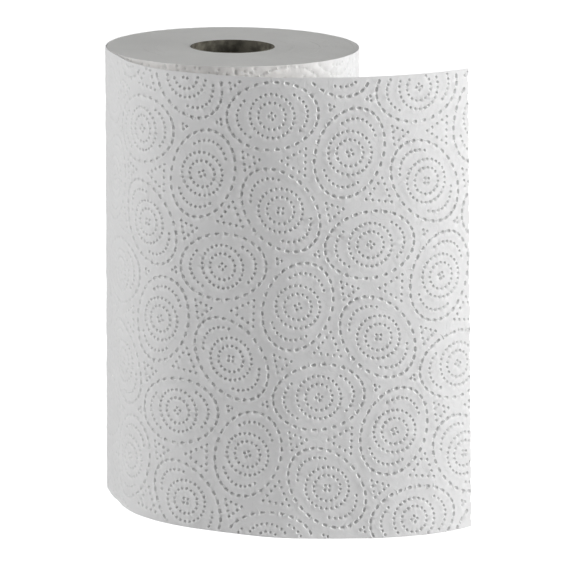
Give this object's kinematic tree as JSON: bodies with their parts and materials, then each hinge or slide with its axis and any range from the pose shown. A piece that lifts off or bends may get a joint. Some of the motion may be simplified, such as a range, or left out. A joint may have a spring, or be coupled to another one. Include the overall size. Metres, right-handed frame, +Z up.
{
  "type": "paper towel roll",
  "caption": "Embossed white kitchen paper towel roll on a cardboard tube, standing on its end with a sheet unrolled from it and standing free.",
  "frame": {"origin": "on the roll's axis, at its lower end face", "axes": "+Z up along the roll's axis, +X to the right of a viewer who faces the loose sheet, -Y towards that viewer"},
  "size_m": [0.1825, 0.1569, 0.226],
  "materials": {
    "tissue": "soft matt two-ply tissue, embossed",
    "board": "bare grey-brown board, spirally wound"
  },
  "bodies": {
    "root": {"towel_paper": "tissue", "core_tube": "board"}
  },
  "joints": []
}
